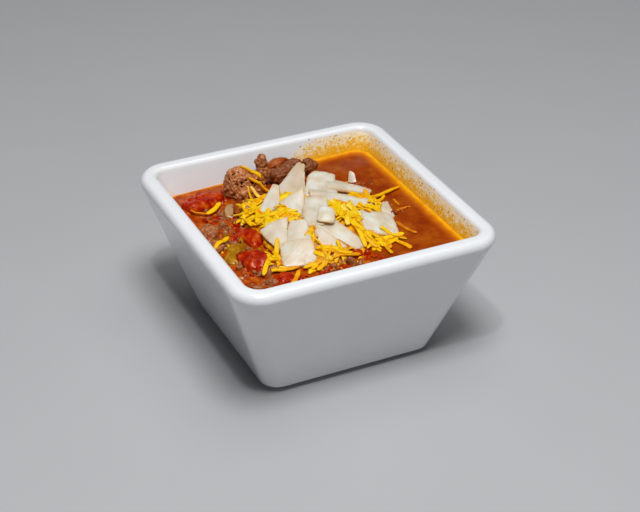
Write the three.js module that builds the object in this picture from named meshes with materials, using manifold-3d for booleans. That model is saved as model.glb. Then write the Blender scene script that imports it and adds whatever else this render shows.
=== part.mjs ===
// Chili con carne in a square tapered porcelain bowl, with grated cheese and cut onion heaped on top.
// Millimetres, +Z up. The origin is the middle of the bowl's foot, on the table.
// The bowl's sides lie along X and Y.
import * as THREE from 'three';
import { mergeVertices } from 'three/addons/utils/BufferGeometryUtils.js';
import Module from 'manifold-3d';

const wasm = await Module();
wasm.setup();

// ---- Driving dimensions ----

const gap = 0.35; // clearance that touching pieces keep
const facetTolerance = 0.09; // how far a merged facet may stray
const mergeDistance = 1e-4; // corners nearer than this are one
const sharpestCorner = 1; // least plan radius of a corner of the room inside the bowl
const height = 64.5; // table to the top of the rim
const rimHalf = 60; // half of the bowl's width over the rim
const baseHalf = 40.2; // half of its width at the lower edge of the wall
const rimCorner = 13.5; // plan radius of the corners at the rim
const baseCorner = 8; // and at the lower edge
const lipOuter = 3.2; // radius of the rim's outer edge
const lipInner = 2.5; // radius of the rim's inner edge
const lipTopHalf = 55; // half-width at which the flat top of the rim ends
const innerRimHalf = 53.2; // half-width of the inner wall, carried up to the rim's height
const innerLean = 0.3; // how far the inner wall leans out for each millimetre of height
const innerCorner = 8.5; // plan radius of the inner corners at the rim
const innerFloorCorner = 6; // and at the floor
const floorTop = 8; // height of the inside floor
const floorFillet = 7; // radius between inner wall and floor
const foot = { half: 36.5, width: 3.6, height: 2.5, recess: 1.6, round: 0.6, corner: 6 };
const baseRound = 1.6; // radius of the wall's lower edge
const level = 53; // height of the liquid
const roomAboveRim = 20; // how far over the rim the food may reach
const heap = { x: 1.5, y: -1, halfX: 30.5, halfY: 31.5, rise: 7.5, edge: 0.9 }; // the mound of cheese

// ---- Small helpers ----

const lerp = (a, b, t) => a + (b - a) * t;
const toRadians = THREE.MathUtils.degToRad;

// A gentle unevenness between -1 and 1, the same for the same point and seed.
function wobble(x, y, z, seed) {
  const a = Math.sin(x * 2.1 + seed * 1.7 + Math.sin(y * 1.9 + seed));
  const b = Math.sin(y * 2.6 - seed * 2.3 + Math.sin(z * 2.2 - seed));
  const c = Math.sin(z * 2.4 + seed * 0.9 + Math.sin(x * 2.8 + seed * 2));
  return (a + b + c) / 3;
}

// A closed body from rings of equal length, each end drawn together to a point.
function loft(rings, startPoint, endPoint) {
  const count = rings[0].length;
  const points = [...rings.flat(), startPoint, endPoint];
  const start = points.length - 2;
  const end = points.length - 1;
  const index = [];
  for (let k = 0; k < count; k += 1) {
    const next = (k + 1) % count;
    index.push(start, next, k);
    for (let r = 0; r + 1 < rings.length; r += 1) {
      const low = r * count;
      const high = low + count;
      index.push(low + k, low + next, high + next, low + k, high + next, high + k);
    }
    const last = (rings.length - 1) * count;
    index.push(end, last + k, last + next);
  }
  const geometry = new THREE.BufferGeometry();
  geometry.setAttribute('position', new THREE.Float32BufferAttribute(points.flat(), 3));
  geometry.setIndex(index);
  return geometry;
}

// ---- Joining and cutting ----

function toSolid(geometry) {
  const bare = geometry.clone();
  bare.deleteAttribute('normal');
  bare.deleteAttribute('uv');
  const merged = mergeVertices(bare, mergeDistance);
  const vertProperties = new Float32Array(merged.attributes.position.array);
  const triVerts = new Uint32Array(merged.index.array);
  return new wasm.Manifold(new wasm.Mesh({ numProp: 3, vertProperties, triVerts }));
}

function toGeometry(solid) {
  const mesh = solid.getMesh();
  const geometry = new THREE.BufferGeometry();
  geometry.setAttribute('position', new THREE.BufferAttribute(mesh.vertProperties, 3));
  geometry.setIndex(new THREE.BufferAttribute(mesh.triVerts, 1));
  return geometry;
}

// A cut leaves slivers and crumbs behind, so facets are merged and only the largest body is kept.
function tidied(solid) {
  const bodies = solid.simplify(facetTolerance).decompose();
  bodies.sort((a, b) => b.volume() - a.volume());
  return bodies[0];
}

// ---- The bowl ----

// A square with rounded corners at height z, anticlockwise from above.
function squareRing(half, corner, z) {
  const steps = 4;
  const ring = [];
  for (let quarter = 0; quarter < 4; quarter += 1) {
    const turn = quarter * Math.PI / 2;
    for (let k = 0; k <= steps; k += 1) {
      const angle = Math.PI / 2 * k / steps;
      const x = half - corner + corner * Math.cos(angle);
      const y = half - corner + corner * Math.sin(angle);
      ring.push([x * Math.cos(turn) - y * Math.sin(turn), x * Math.sin(turn) + y * Math.cos(turn), z]);
    }
  }
  return ring;
}

// Rings along an arc of the bowl's profile, from one angle to another in degrees.
function arcRings(half, z, radius, from, to, steps, cornerAt) {
  const rings = [];
  for (let k = 0; k <= steps; k += 1) {
    const angle = toRadians(lerp(from, to, k / steps));
    const ringHalf = half + radius * Math.cos(angle);
    const ringZ = z + radius * Math.sin(angle);
    rings.push(squareRing(ringHalf, cornerAt(ringHalf, ringZ), ringZ));
  }
  return rings;
}

const innerHalf = (z) => innerRimHalf - innerLean * (height - z);
const innerLeanAngle = THREE.MathUtils.radToDeg(Math.atan(innerLean));

const innerCornerAt = (z) => lerp(innerFloorCorner, innerCorner, (z - floorTop) / (height - floorTop));

// The inner wall and floor from the top down, pushed inwards by a clearance.
function innerRings(clearance, topZ) {
  const radius = floorFillet - clearance;
  const centreZ = floorTop + floorFillet;
  const reach = floorFillet / Math.cos(toRadians(innerLeanAngle));
  const centreHalf = innerHalf(centreZ) - reach;
  const cornerAt = (half, z) => Math.max(innerCornerAt(z) - clearance, sharpestCorner);
  const rings = [];
  if (topZ > centreZ) {
    rings.push(squareRing(innerHalf(topZ) - clearance, cornerAt(0, topZ), topZ));
  }
  return [...rings, ...arcRings(centreHalf, centreZ, radius, -innerLeanAngle, -90, 4, cornerAt)];
}

function makeBowl() {
  const outerCornerAt = (half, z) => lerp(baseCorner, rimCorner, (z - foot.height) / (height - foot.height));
  const footInner = foot.half - foot.width;
  const footRing = (half, z) => squareRing(half, foot.corner, z);
  const wallLean = (rimHalf - baseHalf) / (height - lipOuter - foot.height);
  const wallAngle = THREE.MathUtils.radToDeg(Math.atan(wallLean));
  const lipCornerAt = (half) => rimCorner - (rimHalf - half);
  const rings = [
    footRing(footInner, foot.recess),
    footRing(footInner, foot.round),
    footRing(footInner + foot.round, 0),
    footRing(foot.half - foot.round, 0),
    footRing(foot.half, foot.round),
    footRing(foot.half, foot.height),
    ...arcRings(baseHalf - baseRound, foot.height + baseRound, baseRound, -90, -wallAngle, 3, outerCornerAt),
    ...arcRings(rimHalf - lipOuter, height - lipOuter, lipOuter, -wallAngle, 90, 6, lipCornerAt),
    ...arcRings(lipTopHalf, height - lipInner, lipInner, 90, 180 - innerLeanAngle, 4, lipCornerAt),
    ...innerRings(0, 0),
  ];
  return loft(rings, [0, 0, foot.recess], [0, 0, floorTop]);
}

// The room inside the bowl, a clearance away from it, from the floor to a given height.
function makeRoom(topZ) {
  const rings = innerRings(gap, topZ).reverse();
  return loft(rings, [0, 0, floorTop + gap], [0, 0, topZ]);
}

// ---- Lumps, beans, slabs and the heap ----
// Each takes a grow distance, so that what lies around a piece can be cut with its gap.

function bareBall(detail) {
  const ball = new THREE.IcosahedronGeometry(1, detail);
  ball.deleteAttribute('normal');
  ball.deleteAttribute('uv');
  return ball;
}

// An uneven lump: a ball scaled to its radii, with soft bumps.
function makeLump({ at, radii, turn = 0, rough = 0.1, bumps = 1.6, seed, detail = 2 }, grow) {
  const geometry = mergeVertices(bareBall(detail), mergeDistance);
  const position = geometry.attributes.position;
  const point = new THREE.Vector3();
  for (let k = 0; k < position.count; k += 1) {
    point.fromBufferAttribute(position, k);
    const swell = 1 + rough * wobble(point.x * bumps, point.y * bumps, point.z * bumps, seed);
    point.multiplyScalar(swell);
    position.setXYZ(k, point.x * (radii[0] + grow), point.y * (radii[1] + grow), point.z * (radii[2] + grow));
  }
  geometry.rotateZ(toRadians(turn));
  geometry.translate(...at);
  return toSolid(geometry);
}

// Several lumps grown together.
function makeCluster({ lumps, seed, rough, bumps, detail }, grow) {
  const solids = lumps.map((lump, k) => makeLump({ rough, bumps, detail, ...lump, seed: seed + k }, grow));
  return solids.reduce((all, one) => all.add(one));
}

// Turns a body made along X to its direction and moves it to its place.
function place(geometry, { at, turn, pitch = 0, roll = 0 }) {
  geometry.rotateX(toRadians(roll));
  geometry.rotateY(-toRadians(pitch));
  geometry.rotateZ(toRadians(turn));
  geometry.translate(...at);
  return toSolid(geometry);
}

// A kidney bean along X, bent towards -Y.
function makeBean(bean, grow) {
  const { length, wide, thick, bend } = bean;
  const around = 8;
  const spans = 6;
  const rings = [];
  for (let r = 1; r < spans; r += 1) {
    const along = -Math.cos(Math.PI * r / spans);
    const girth = Math.sin(Math.PI * r / spans) ** 0.8;
    const ring = [];
    for (let k = 0; k < around; k += 1) {
      const angle = 2 * Math.PI * k / around;
      const y = (wide / 2 + grow) * girth * Math.cos(angle) - bend * along * along;
      ring.push([along * (length / 2 + grow), y, (thick / 2 + grow) * girth * Math.sin(angle)]);
    }
    rings.push(ring);
  }
  const end = length / 2 + grow;
  return place(loft(rings, [-end, -bend, 0], [end, -bend, 0]), bean);
}

// A cut piece of onion layer or pepper: a slab along X, as wide as "near" at its start and "far"
// at its end, which bows over across its width and arches along its length.
function makeSlab(slab, grow) {
  const { length, near, far, skew = 0, bow = 0.8, arch = 0.4, thick = 2.2 } = slab;
  const around = 8;
  const stations = [-0.96, -0.7, 0, 0.7, 0.96];
  const stretch = (length / 2 + grow) / (length / 2);
  const middle = (along) => {
    const reach = along * stretch;
    return [reach * length / 2, reach * skew / 2, -arch * reach * reach];
  };
  const rings = stations.map((along) => {
    const rounding = (1 - Math.abs(along) ** 7) ** 0.5;
    const halfWidth = (lerp(near, far, (along + 1) / 2) / 2) * lerp(0.55, 1, rounding);
    const halfThick = (thick / 2) * lerp(0.5, 1, rounding) + grow;
    const [x, y, z] = middle(along);
    const ring = [];
    for (let k = 0; k < around; k += 1) {
      const angle = 2 * Math.PI * (k + 0.5) / around;
      const side = Math.sign(Math.cos(angle)) * Math.abs(Math.cos(angle)) ** 0.5;
      const rise = Math.sign(Math.sin(angle)) * Math.abs(Math.sin(angle)) ** 0.6;
      const spread = side * (halfWidth + grow);
      ring.push([x, y + spread, z + rise * halfThick - bow * (spread / halfWidth) ** 2]);
    }
    return ring;
  });
  return place(loft(rings, middle(-1), middle(1)), slab);
}

// The uneven mound of grated cheese, flat where it lies on the chili.
function makeHeap() {
  const around = 26;
  const circles = 5;
  const foundation = level + gap;
  const outline = (angle) => 1 + 0.07 * Math.sin(3 * angle + 0.8) + 0.05 * Math.sin(7 * angle + 2.1);
  const surface = (angle, share) => {
    const x = heap.x + heap.halfX * outline(angle) * share * Math.cos(angle);
    const y = heap.y + heap.halfY * outline(angle) * share * Math.sin(angle);
    const ripple = 0.5 * wobble(x / 4, y / 4, 0, 5) * (1 - share ** 4);
    return [x, y, foundation + heap.edge + heap.rise * (1 - share * share) ** 0.8 + ripple];
  };
  const rings = [];
  for (let r = 0; r <= circles; r += 1) {
    const share = 1 - 0.92 * r / circles;
    rings.push(Array.from({ length: around }, (_, k) => surface(2 * Math.PI * k / around, share)));
  }
  const bottom = rings[0].map(([x, y]) => [x, y, foundation]);
  return toSolid(loft([bottom, ...rings], [heap.x, heap.y, foundation], surface(0, 0)));
}

// ---- The food, from the top of the pile down ----
// A piece higher in this list keeps its whole form, and what lies under it is cut round it.
// Slab: turn is the heading of its length from +X, pitch lifts its far end, roll tips it sideways.

const onions = {
  onion_round: {
    at: [-0.5, -13.2, 66], turn: 60, pitch: 16, roll: 6, length: 9, near: 7.6, far: 7, bow: 1.6, arch: 1,
  },
  onion_mid: {
    at: [-2, -5, 63.4], turn: 66, pitch: 5, roll: -8, length: 19, near: 7, far: 11, bow: 1.2,
  },
  onion_tri_left: {
    at: [-7.5, 2, 61.8], turn: 92, pitch: 18, roll: -24, length: 13, near: 2.5, far: 10, skew: -2,
  },
  onion_long: {
    at: [15, 2, 61.2], turn: -28, pitch: -11, roll: 4, length: 26, near: 11, far: 5, skew: 2,
    bow: 1.6, arch: 1.6,
  },
  onion_top_right: {
    at: [23.5, 13, 59.8], turn: -24, pitch: -16, roll: -8, length: 19, near: 11, far: 4, arch: 0.8,
  },
  onion_top_left: {
    at: [11.5, 16, 62.4], turn: 62, pitch: 4, roll: 4, length: 17, near: 14, far: 10, bow: 1.2,
  },
  onion_peak: {
    at: [1.5, 23.5, 62], turn: 58, pitch: 22, roll: -14, length: 17, near: 15, far: 3.5, skew: -4,
  },
  onion_wedge: {
    at: [-14.5, 12, 60], turn: 50, pitch: 30, roll: -10, length: 17, near: 11.5, far: 2.5, thick: 2,
  },
  onion_front: {
    at: [2.5, -21, 59.2], turn: -52, pitch: -22, roll: 12, length: 20, near: 10.5, far: 4.5, bow: 1.2,
  },
  onion_fold: {
    at: [-14.5, -15.2, 60], turn: 62, pitch: 20, roll: -8, length: 13, near: 10.5, far: 6, bow: 1,
  },
  onion_low_front: {
    at: [-19, -24.4, 57.6], turn: 76, pitch: 24, roll: -6, length: 11.5, near: 13.5, far: 12.5, bow: 1.8,
  },
  onion_wedge_front: {
    at: [-5.5, -23, 58.2], turn: 100, pitch: 26, roll: -14, length: 12, near: 12, far: 2.5,
  },
  onion_front_left: {
    at: [-22, -10, 58.2], turn: 82, pitch: 16, roll: -22, length: 13, near: 3.5, far: 11.5,
  },
  onion_square: {
    at: [22.3, -17, 57.6], turn: 74, pitch: 8, roll: 14, length: 13.5, near: 17, far: 13, skew: -1,
    thick: 2.4,
  },
  onion_behind_square: {
    at: [31.3, -8, 55.6], turn: 70, pitch: 20, roll: 12, length: 9.5, near: 7, far: 2, thick: 1.8,
  },
  onion_upright: {
    at: [31.3, 24.5, 55], turn: 40, pitch: 46, roll: 10, length: 6.5, near: 5.5, far: 2, skew: 2,
    thick: 1.8,
  },
  onion_sunk: {
    at: [-28.8, 24.4, 53.4], turn: 66, pitch: 4, roll: 0, length: 10, near: 3.2, far: 3.6,
    bow: 0.3, thick: 2.4,
  },
};

const beef = {
  beef_clump: {
    seed: 3, rough: 0.16, bumps: 2,
    lumps: [
      { at: [-18, 38.2, 57.2], radii: [6.8, 6, 8] },
      { at: [-11.5, 36.5, 55.5], radii: [5.6, 5.2, 6.8] },
      { at: [-16.5, 33, 54.4], radii: [5.6, 4, 4.4] },
    ],
  },
  beef_nub: {
    seed: 8, rough: 0.16, bumps: 2,
    lumps: [
      { at: [-4.8, 43.5, 62.6], radii: [2.9, 2.8, 4.2] },
      { at: [-4.6, 42, 57.2], radii: [4.2, 3.4, 4.8] },
    ],
  },
  beef_strip: {
    seed: 14, rough: 0.14, bumps: 2,
    lumps: [
      { at: [2.5, 39, 56.4], radii: [5, 4, 4.4] },
      { at: [10, 41.5, 58.2], radii: [5.5, 3.6, 3.6] },
      { at: [17, 41.5, 56.2], radii: [5, 3.4, 3.8] },
    ],
  },
  beef_low: {
    seed: 21, rough: 0.16, bumps: 2, detail: 1, lumps: [{ at: [-19.8, 20.8, 54], radii: [5, 4.8, 3.8] }],
  },
  beef_left: {
    seed: 27, rough: 0.14, bumps: 2, detail: 1, lumps: [{ at: [-43.3, 12, 53], radii: [4.4, 5, 2.8] }],
  },
  beef_small: {
    seed: 31, rough: 0.14, bumps: 2, detail: 1, lumps: [{ at: [-45, -0.3, 53], radii: [3, 3.8, 2.4] }],
  },
};

const beans = {
  bean_back: { at: [3.8, 45.4, 58.2], turn: 4, pitch: 9, length: 12.5, wide: 7, thick: 6.4, bend: 0.8 },
  bean_right: { at: [18.2, 37.6, 53.8], turn: 64, pitch: 0, length: 8.5, wide: 5, thick: 5, bend: 0.5 },
  bean_left: { at: [-24, 25, 53.4], turn: 64, pitch: 0, length: 12, wide: 5.6, thick: 4.6, bend: 0.7 },
};

const tomatoes = {
  tomato_back: { at: [-36.2, 37, 52.8], radii: [9.6, 5.8, 3.2], turn: 2, seed: 40 },
  tomato_middle: { at: [-29.5, 0.5, 53], radii: [4, 8, 3], turn: 18, seed: 44 },
  tomato_front: { at: [-34.8, -17.5, 53], radii: [5.8, 9.5, 3.4], turn: 20, seed: 47 },
  tomato_corner: { at: [-30, -33.8, 52.8], radii: [5.2, 4.6, 2.6], turn: 0, seed: 52, detail: 1 },
  tomato_right: { at: [2.5, -30, 52.8], radii: [6, 4.6, 2.8], turn: 20, seed: 55, detail: 1 },
};

const peppers = {
  pepper_green: {
    at: [-40, -8.5, 53.2], turn: 60, pitch: 2, roll: 4, length: 15, near: 9, far: 8, bow: 1.6,
    arch: 0.8, thick: 3,
  },
};

// ---- Materials ----

function material(color, roughness) {
  return new THREE.MeshStandardMaterial({ color, roughness, metalness: 0 });
}

const finishes = {
  bowl: () => material(0xeceeee, 0.15),
  chili: () => material(0xa84805, 0.2),
  cheese: () => material(0xf2b705, 0.5),
  onion: () => material(0xe6dfd0, 0.35),
  beef: () => material(0x8a5236, 0.6),
  bean: () => material(0x6e2410, 0.2),
  tomato: () => material(0xa81c06, 0.25),
  pepper: () => material(0x8a7a10, 0.3),
};

// ---- Assembly ----

const group = new THREE.Group();

function addMesh(name, solid, finish) {
  const mesh = new THREE.Mesh(toGeometry(solid), finishes[finish]());
  mesh.name = name;
  group.add(mesh);
}

const room = toSolid(makeRoom(height + roomAboveRim));
const kinds = [
  [onions, makeSlab, 'onion'],
  [beef, makeCluster, 'beef'],
  [beans, makeBean, 'bean'],
  [tomatoes, makeLump, 'tomato'],
  [peppers, makeSlab, 'pepper'],
];

let above = null; // everything placed so far, each piece grown by the gap
for (const [pieces, make, finish] of kinds) {
  for (const [name, sizes] of Object.entries(pieces)) {
    const inside = make(sizes, 0).intersect(room);
    addMesh(name, tidied(above ? inside.subtract(above) : inside), finish);
    const grown = make(sizes, gap).simplify(facetTolerance);
    above = above ? above.add(grown) : grown;
  }
}

addMesh('cheese_heap', tidied(makeHeap().subtract(above)), 'cheese');
addMesh('chili', tidied(toSolid(makeRoom(level)).subtract(above)), 'chili');
addMesh('bowl', toSolid(makeBowl()), 'bowl');

export default group;
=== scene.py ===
"""Chili con carne in a square porcelain bowl, under grated cheese and cut onion.

The fine surfaces, the loose pieces and the materials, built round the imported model.
Sizes are in millimetres in the model's frame, and a mesh becomes metres when it is made.
"""
import itertools
import math

import bmesh
import bpy
import numpy as np
from mathutils import Matrix, Vector
from mathutils.bvhtree import BVHTree


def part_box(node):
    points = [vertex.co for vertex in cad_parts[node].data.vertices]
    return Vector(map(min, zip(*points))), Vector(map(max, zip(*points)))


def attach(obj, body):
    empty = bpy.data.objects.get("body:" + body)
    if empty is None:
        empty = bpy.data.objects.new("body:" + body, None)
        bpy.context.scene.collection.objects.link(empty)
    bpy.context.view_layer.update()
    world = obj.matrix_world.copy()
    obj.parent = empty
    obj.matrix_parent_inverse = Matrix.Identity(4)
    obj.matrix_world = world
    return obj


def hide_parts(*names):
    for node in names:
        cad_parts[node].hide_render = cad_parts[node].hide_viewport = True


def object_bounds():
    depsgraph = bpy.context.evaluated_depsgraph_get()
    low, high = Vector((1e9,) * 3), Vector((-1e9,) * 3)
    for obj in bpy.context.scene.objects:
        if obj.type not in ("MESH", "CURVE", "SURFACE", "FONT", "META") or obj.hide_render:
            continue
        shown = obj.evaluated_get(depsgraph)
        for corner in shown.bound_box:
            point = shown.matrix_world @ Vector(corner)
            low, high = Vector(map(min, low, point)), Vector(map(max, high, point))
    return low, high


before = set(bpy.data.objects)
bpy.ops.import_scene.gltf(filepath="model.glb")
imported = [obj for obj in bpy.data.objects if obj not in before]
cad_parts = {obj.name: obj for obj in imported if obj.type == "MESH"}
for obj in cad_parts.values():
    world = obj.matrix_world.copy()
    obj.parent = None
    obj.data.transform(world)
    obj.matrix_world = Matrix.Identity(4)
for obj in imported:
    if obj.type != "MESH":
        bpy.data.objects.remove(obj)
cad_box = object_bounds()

MM = 0.001

# ---- Driving dimensions ----

RIM_HALF, _, HEIGHT = np.array(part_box("bowl")[1]) / MM  # half of the rim's width, and its height
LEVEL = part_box("chili")[1][2] / MM  # mean height of the liquid
BASE_HALF = 40.2  # half of the bowl's width at the lower edge of the wall
RIM_CORNER = 13.5  # plan radius of the corners at the rim
BASE_CORNER = 8  # and at the lower edge
LIP_OUTER = 3.2  # radius of the rim's outer edge
LIP_INNER = 2.5  # radius of the rim's inner edge
LIP_TOP_HALF = 55  # half-width at which the flat top of the rim ends
INNER_RIM_HALF = 53.2  # half-width of the inner wall, carried up to the rim's height
INNER_LEAN = 0.3  # how far the inner wall leans out for each millimetre of height
INNER_CORNER = 8.5  # plan radius of the inner corners at the rim
INNER_FLOOR_CORNER = 6  # and at the floor
FLOOR_TOP = 8  # height of the inside floor
FLOOR_FILLET = 7  # radius between inner wall and floor
FOOT = {"half": 36.5, "width": 3.6, "height": 2.5, "recess": 1.6, "round": 0.6, "corner": 6}
BASE_ROUND = 1.6  # radius of the wall's lower edge

INTO_WALL = 0.3  # how far the broth reaches into the wall
TILT = (0.032, -0.008)  # the thick broth stands higher on the right, in millimetres for each millimetre
MENISCUS_RISE = 0.5
MENISCUS_WIDTH = 1.2
SHORE_LEFT, SHORE_RIGHT = 3, 6  # how wide the broth is pale along the wall
BROTH_CELLS = 190  # cells along each side of the net on top of the broth
FILM_TOP = 63.3  # how high the dried film reaches up the right wall
ABOVE_ALL = 90  # a height above the whole object
TOP_CLEARANCE = 0.05  # how far the mince and the onion stay below the top of the CAD model
FULL_HOLLOW = 0.05  # depth of a hollow that gets the full painted shade


# ---- Numbers and noise ----

def smoothstep(low, high, value):
    share = np.clip((np.asarray(value, float) - low) / (high - low), 0, 1)
    return share * share * (3 - 2 * share)


def noise(points, size, seed):
    """Smooth noise between -1 and 1 whose features have a given size, one value for each point."""
    place = np.asarray(points, float) / size + seed * 17.31
    cell = np.floor(place).astype(np.int64)
    part = place - cell
    part = part * part * (3 - 2 * part)
    total = np.zeros(len(place))
    for corner in itertools.product((0, 1), repeat=3):
        c = cell + corner
        mixed = (c[:, 0] * 73856093) ^ (c[:, 1] * 19349663) ^ (c[:, 2] * 83492791) ^ (seed * 7919)
        mixed = ((mixed ^ (mixed >> 13)) * 1274126177) & 0xFFFFFFFF
        value = ((mixed ^ (mixed >> 16)) & 0xFFFF) / 32767.5 - 1
        total += value * np.prod(np.where(corner, part, 1 - part), axis=1)
    return total


def broth_height(x, y):
    """Height of the undisturbed broth."""
    return LEVEL + TILT[0] * x + TILT[1] * y


# ---- Meshes ----

def make_piece(name, points, faces, material, slot, stands_for=(), **values):
    """A smooth piece on the bowl's body. Each of the values is stored as one number for each point."""
    mesh = bpy.data.meshes.new(name)
    mesh.from_pydata((np.asarray(points) * MM).tolist(), [], [list(map(int, face)) for face in faces])
    mesh.shade_smooth()
    mesh.materials.append(material)
    for key, numbers in values.items():
        attribute = mesh.attributes.new(key, "FLOAT", "POINT")
        attribute.data.foreach_set("value", np.asarray(numbers, np.float32))
    piece = bpy.data.objects.new(name, mesh)
    bpy.context.scene.collection.objects.link(piece)
    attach(piece, "root")
    if stands_for:
        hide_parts(*stands_for)


def node_mesh(node):
    """Points and triangles of a CAD node."""
    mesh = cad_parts[node].data
    mesh.calc_loop_triangles()
    points = np.array([vertex.co for vertex in mesh.vertices]) / MM
    return points, np.array([triangle.vertices for triangle in mesh.loop_triangles])


def join(parts):
    """One mesh from several, each a pair of points and faces with equally many corners."""
    points = np.concatenate([part[0] for part in parts])
    starts = np.cumsum([0] + [len(part[0]) for part in parts[:-1]])
    faces = np.concatenate([np.asarray(part[1]) + start for part, start in zip(parts, starts)])
    return points, faces


def tube_faces(rings, around):
    """Faces that join rings of points and close them at two end points, which come after the rings.

    A triangle is a face whose last corner is repeated.
    """
    start, end, last = rings * around, rings * around + 1, (rings - 1) * around
    faces = []
    for k in range(around):
        following = (k + 1) % around
        faces.append((start, following, k, k))
        for low in range(0, last, around):
            faces.append((low + k, low + following, low + around + following, low + around + k))
        faces.append((end, last + k, last + following, last + following))
    return np.array(faces)


def trimmed(faces):
    """Faces whose last corner is repeated become triangles."""
    return [face[:3] if face[2] == face[3] else face for face in faces.tolist()]


def remesh(points, faces, voxel, relax):
    """The outer skin of a mesh as an even net of four-sided facets, evened out a few times."""
    mesh = bpy.data.meshes.new("work")
    mesh.from_pydata(points.tolist(), [], faces.tolist())
    work = bpy.data.objects.new("work", mesh)
    bpy.context.scene.collection.objects.link(work)
    skin = work.modifiers.new("skin", "REMESH")
    skin.mode = "VOXEL"
    skin.voxel_size = voxel
    soft = work.modifiers.new("soft", "SMOOTH")
    soft.iterations = relax
    soft.factor = 0.5
    result = work.evaluated_get(bpy.context.evaluated_depsgraph_get()).to_mesh()
    new_points = np.zeros(len(result.vertices) * 3)
    result.vertices.foreach_get("co", new_points)
    corners = np.zeros(len(result.loops), np.int64)
    result.loops.foreach_get("vertex_index", corners)
    bpy.data.objects.remove(work)
    bpy.data.meshes.remove(mesh)
    return new_points.reshape(-1, 3), corners.reshape(-1, 4)


def facet_vectors(points, triangles):
    """A vector square to each triangle, twice as long as the triangle is large."""
    a, b, c = (points[triangles[:, k]] for k in range(3))
    return np.cross(b - a, c - a)


def normals_of(points, faces):
    """Unit normals at the points."""
    if faces.shape[1] == 3:
        across = facet_vectors(points, faces)
    else:
        a, b, c, d = (points[faces[:, k]] for k in range(4))
        across = np.cross(c - a, d - b)
    corners = faces.ravel()
    repeated = np.repeat(across, faces.shape[1], axis=0)
    total = np.stack([np.bincount(corners, repeated[:, axis], len(points)) for axis in range(3)], axis=1)
    return total / np.maximum(np.linalg.norm(total, axis=1, keepdims=True), 1e-9)


def neighbour_mean(values, faces):
    """The mean of what the neighbours of each point hold."""
    start = faces.ravel()
    end = np.roll(faces, -1, axis=1).ravel()
    one = np.concatenate([start, end])
    other = np.concatenate([end, start])
    count = np.maximum(np.bincount(one, minlength=len(values)), 1)
    if values.ndim == 1:
        return np.bincount(one, values[other], len(values)) / count
    columns = [np.bincount(one, values[other, axis], len(values)) for axis in range(values.shape[1])]
    return np.stack(columns, axis=1) / count[:, None]


def hollows(points, faces):
    """The mask for painted shade in crevices: how hollow the surface is at each point, about 1 in a crevice,
    -1 on a sharp crest.
    """
    mean = neighbour_mean(points, faces)
    depth = np.sum((mean - points) * normals_of(points, faces), axis=1)
    for _ in range(2):
        depth = 0.5 * depth + 0.5 * neighbour_mean(depth, faces)
    return np.clip(depth / FULL_HOLLOW, -1, 1)


def roughened(points, faces, *layers, seed=0):
    """The points moved along their normals by layers of noise, each a size and a height."""
    normals = normals_of(points, faces)
    shift = sum(height * noise(points, size, seed + k) for k, (size, height) in enumerate(layers))
    return points + normals * np.asarray(shift)[:, None]


def under_top(points):
    """The points, lowered if need be so that none stands above the CAD model."""
    lowered = points.copy()
    lowered[:, 2] -= max(points[:, 2].max() - cad_box[1][2] / MM + TOP_CLEARANCE, 0)
    return lowered


def ball(level):
    """A unit ball of triangles."""
    mesh = bpy.data.meshes.new("ball")
    work = bmesh.new()
    bmesh.ops.create_icosphere(work, subdivisions=level, radius=1)
    work.to_mesh(mesh)
    work.free()
    points = np.array([vertex.co for vertex in mesh.vertices])
    faces = np.array([polygon.vertices for polygon in mesh.polygons])
    bpy.data.meshes.remove(mesh)
    return points, faces


def random_turn(draw):
    """A random rotation matrix."""
    quaternion = draw.normal(size=4)
    a, b, c, d = quaternion / np.linalg.norm(quaternion)
    return np.array([
        [1 - 2 * (c * c + d * d), 2 * (b * c - a * d), 2 * (b * d + a * c)],
        [2 * (b * c + a * d), 1 - 2 * (b * b + d * d), 2 * (c * d - a * b)],
        [2 * (b * d - a * c), 2 * (c * d + a * b), 1 - 2 * (b * b + c * c)],
    ])


def sample_surface(points, triangles, count, draw):
    """Random places on a surface, with the facets' normals."""
    a, b, c = (points[triangles[:, k]] for k in range(3))
    across = facet_vectors(points, triangles)
    area = np.linalg.norm(across, axis=1)
    chosen = draw.choice(len(triangles), count, p=area / area.sum())
    u, v = draw.random((2, count, 1))
    over = (u + v) > 1
    u, v = np.where(over, 1 - u, u), np.where(over, 1 - v, v)
    places = a[chosen] + u * (b - a)[chosen] + v * (c - a)[chosen]
    return places, across[chosen] / area[chosen, None]


# ---- Materials ----

def paint(red, green, blue):
    """A colour from its three values between 0 and 255, as it looks in white light."""
    shares = [value / 255 for value in (red, green, blue)]
    return [s / 12.92 if s <= 0.04045 else ((s + 0.055) / 1.055) ** 2.4 for s in shares] + [1]


def add(tree, kind, inputs=None, **settings):
    """A shader node with its settings, and its inputs as values or as the sockets they come from."""
    node = tree.nodes.new("ShaderNode" + kind)
    for key, value in settings.items():
        setattr(node, key, value)
    for key, value in (inputs or {}).items():
        if isinstance(value, bpy.types.NodeSocket):
            tree.links.new(value, node.inputs[key])
        else:
            node.inputs[key].default_value = value
    return node


def start_material(name, **sockets):
    """A material and its nodes, with the constant values of its shader set."""
    material = bpy.data.materials.new(name)
    material.use_nodes = True
    shader = material.node_tree.nodes["Principled BSDF"]
    for key, value in sockets.items():
        shader.inputs[key.replace("_", " ")].default_value = value
    return material, material.node_tree


def finish_material(material, color, relief, depth, strength=1.0):
    """Links the colour, and a fine relief of a given depth in millimetres."""
    tree = material.node_tree
    shader = tree.nodes["Principled BSDF"]
    bump = add(tree, "Bump", {"Height": relief, "Distance": depth * MM, "Strength": strength})
    tree.links.new(bump.outputs["Normal"], shader.inputs["Normal"])
    tree.links.new(color, shader.inputs["Base Color"])
    return material


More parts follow.
